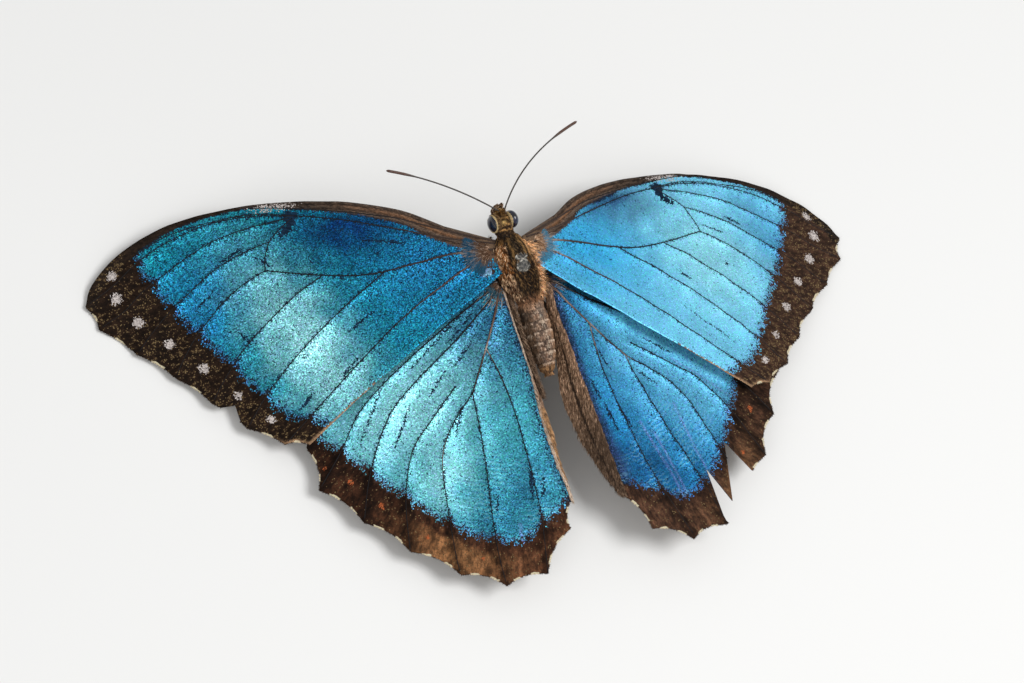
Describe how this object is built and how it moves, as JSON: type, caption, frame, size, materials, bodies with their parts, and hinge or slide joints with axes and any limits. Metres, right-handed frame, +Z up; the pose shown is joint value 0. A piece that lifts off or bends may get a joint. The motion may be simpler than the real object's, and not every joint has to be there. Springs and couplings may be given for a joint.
{
  "type": "blue morpho butterfly",
  "caption": "Still, life-size blue morpho butterfly standing with open, slightly lowered blue wings, dark spotted borders and folded inner hindwing edges.",
  "frame": {"origin": "middle of the footprint on the plane the feet stand on", "axes": "+Y from the tail towards the head, +X towards the insect's right wings, +Z up"},
  "size_m": [0.1186, 0.0656, 0.0195],
  "materials": {
    "wing_blue": "scaled, satin blue above, brown below and along the margin",
    "body_hair": "short brown hair and scales, matt",
    "eye": "glossy black, finely faceted",
    "palp": "scaled, matt",
    "antenna": "ringed, satin, browner club",
    "proboscis": "satin",
    "leg": "scaled, satin"
  },
  "bodies": {
    "root": {"head": "body_hair", "thorax": "body_hair", "abdomen": "body_hair", "eye_left": "eye", "eye_right": "eye", "palp_left": "palp", "palp_right": "palp", "antenna_left": "antenna", "antenna_right": "antenna", "proboscis": "proboscis", "foreleg_left": "leg", "midleg_left": "leg", "hindleg_left": "leg", "forewing_left": "wing_blue", "hindwing_left": "wing_blue", "foreleg_right": "leg", "midleg_right": "leg", "hindleg_right": "leg", "forewing_right": "wing_blue", "hindwing_right": "wing_blue"}
  },
  "joints": []
}
